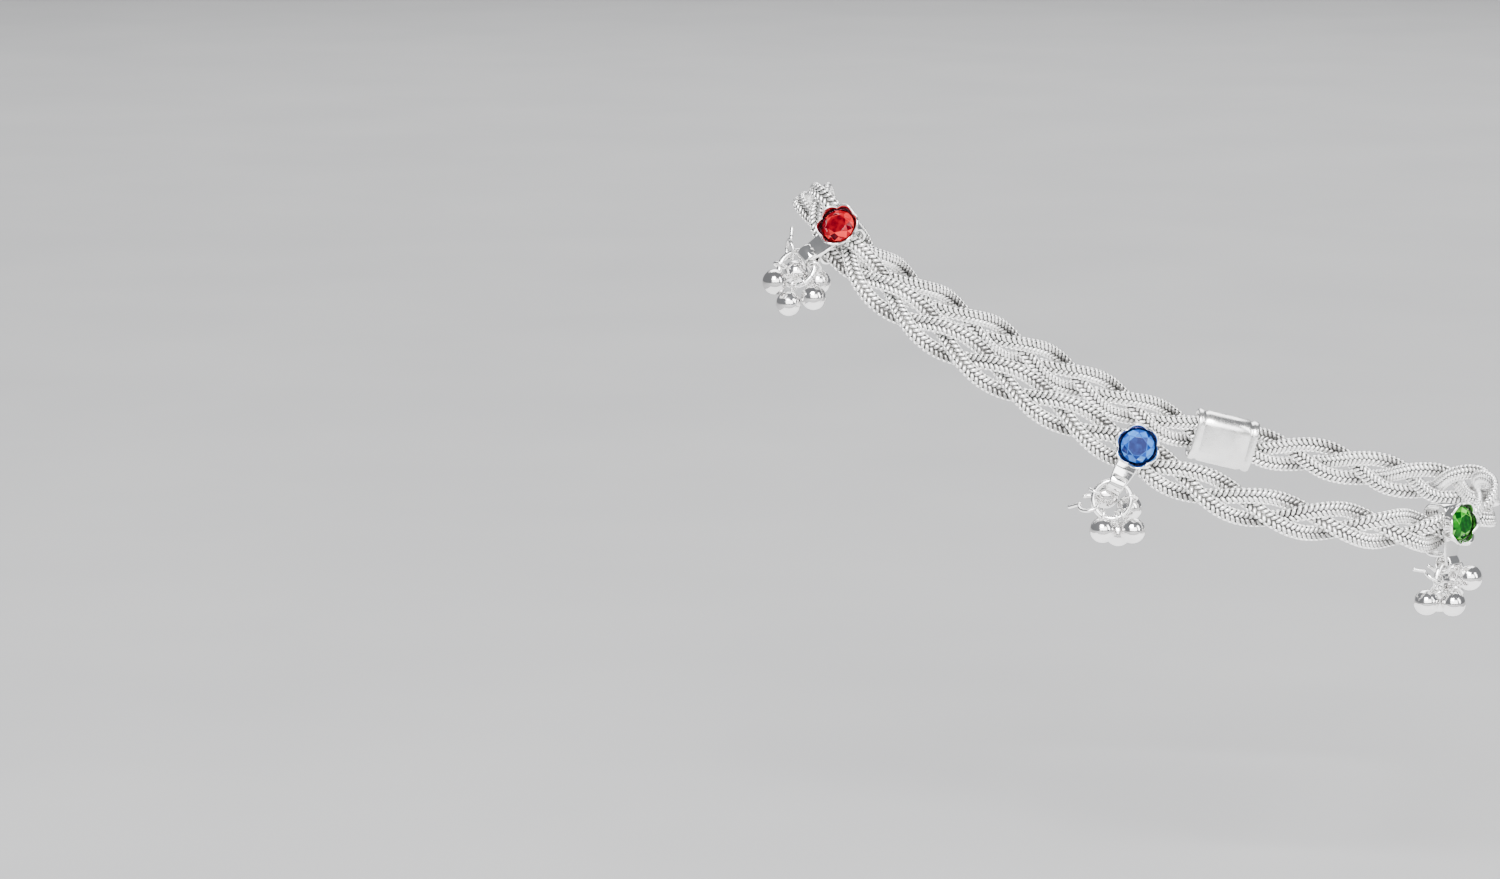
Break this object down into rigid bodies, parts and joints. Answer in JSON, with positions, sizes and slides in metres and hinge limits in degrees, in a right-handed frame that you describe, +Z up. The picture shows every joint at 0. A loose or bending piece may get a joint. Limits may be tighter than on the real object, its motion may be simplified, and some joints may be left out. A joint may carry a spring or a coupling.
{
  "type": "payal anklet",
  "caption": "Plaited flat-chain anklet, a whole loop worn round the ankle, with round stone cups strapped on its outer side and small ball bells hung on jump rings.",
  "frame": {"origin": "middle of the loop, on the leg's axis, where the ankle passes through", "axes": "+X to the heel, -Y to the outer side of the leg, where the stones are, +Z up the leg"},
  "size_m": [0.1007, 0.0588, 0.0555],
  "materials": {
    "woven_silver": "woven flat chain, bright silver colour, satin at a distance",
    "polished_silver": "polished silver colour",
    "glass_red": "faceted foil-backed glass, red",
    "glass_blue": "faceted foil-backed glass, blue",
    "glass_green": "faceted foil-backed glass, green"
  },
  "bodies": {
    "root": {"strand_a": "woven_silver", "strand_b": "woven_silver", "strand_c": "woven_silver", "clasp": "polished_silver", "setting_red": "polished_silver", "stone_red": "glass_red", "jump_ring_red": "polished_silver", "wire_loop_red": "polished_silver", "bell_red_1": "polished_silver", "bell_red_2": "polished_silver", "bell_red_3": "polished_silver", "bell_red_4": "polished_silver", "bell_red_5": "polished_silver", "setting_blue": "polished_silver", "stone_blue": "glass_blue", "jump_ring_blue": "polished_silver", "wire_loop_blue": "polished_silver", "bell_blue_1": "polished_silver", "bell_blue_2": "polished_silver", "bell_blue_3": "polished_silver", "bell_blue_4": "polished_silver", "bell_blue_5": "polished_silver", "setting_green": "polished_silver", "stone_green": "glass_green", "jump_ring_green": "polished_silver", "wire_loop_green": "polished_silver", "bell_green_1": "polished_silver", "bell_green_2": "polished_silver", "bell_green_3": "polished_silver", "bell_green_4": "polished_silver", "bell_green_5": "polished_silver"}
  },
  "joints": []
}
